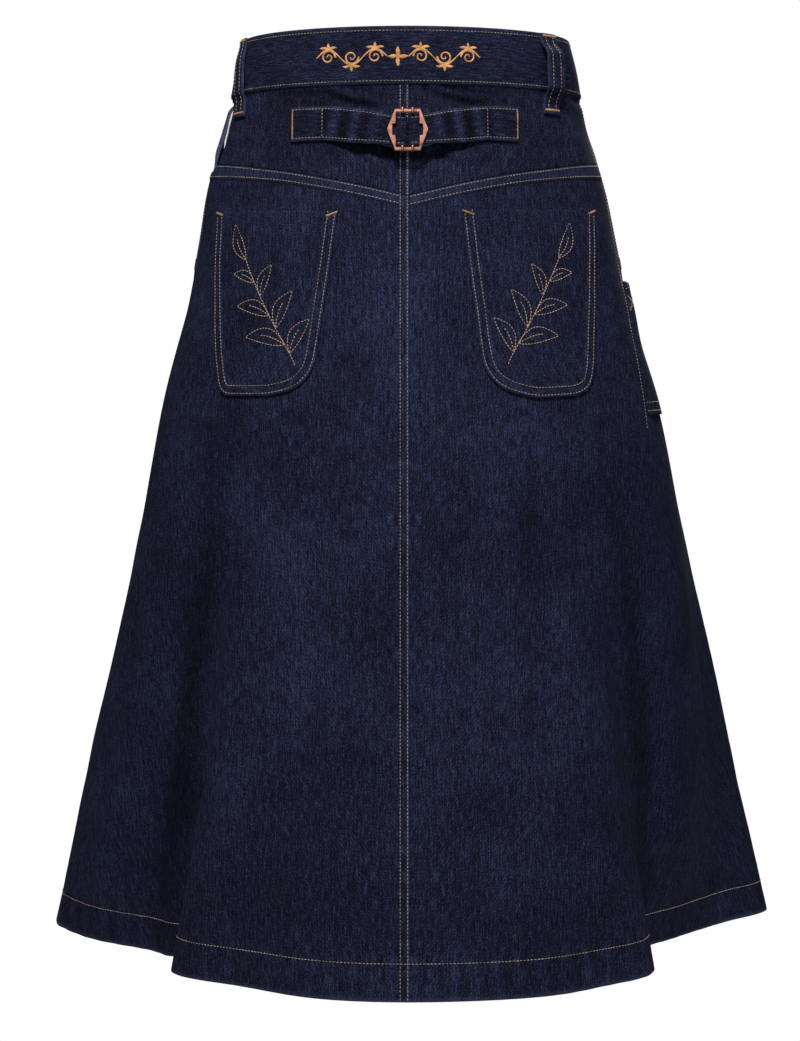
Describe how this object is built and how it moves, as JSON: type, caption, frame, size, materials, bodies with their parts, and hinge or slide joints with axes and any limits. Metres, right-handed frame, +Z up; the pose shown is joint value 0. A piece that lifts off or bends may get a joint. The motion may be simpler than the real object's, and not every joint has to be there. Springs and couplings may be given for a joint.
{
  "type": "worn denim midi skirt",
  "caption": "Flared denim midi skirt in worn form, with V yoke, back patch pockets, tool pocket, belt loops and a buckled back cinch.",
  "frame": {"origin": "centre of the waist opening at mid height of the waistband", "axes": "+Z up through the waist, -Y toward the back of the skirt, +X toward the wearer's right"},
  "size_m": [0.6487, 0.4715, 0.7845],
  "materials": {
    "denim": "dark indigo twill",
    "pocketing": "plain white cotton",
    "copper_metal": "satin copper plate",
    "thread": "tan topstitch thread"
  },
  "bodies": {
    "root": {"waistband": "denim", "yoke_left": "denim", "yoke_right": "denim", "back_left": "denim", "back_right": "denim", "front_left": "denim", "front_right": "denim", "facing_left": "denim", "facing_right": "denim", "pocketing_left": "pocketing", "pocketing_right": "pocketing", "strap_left": "denim", "strap_right": "denim", "buckle_bar_left": "copper_metal", "buckle_bar_right": "copper_metal", "back_pocket_left": "denim", "back_pocket_right": "denim", "tool_pocket": "denim", "fly_facing": "denim", "buckle_frame": "copper_metal", "belt_loop_1": "denim", "belt_loop_2": "denim", "belt_loop_3": "denim", "belt_loop_4": "denim", "waist_button": "copper_metal"}
  },
  "joints": []
}
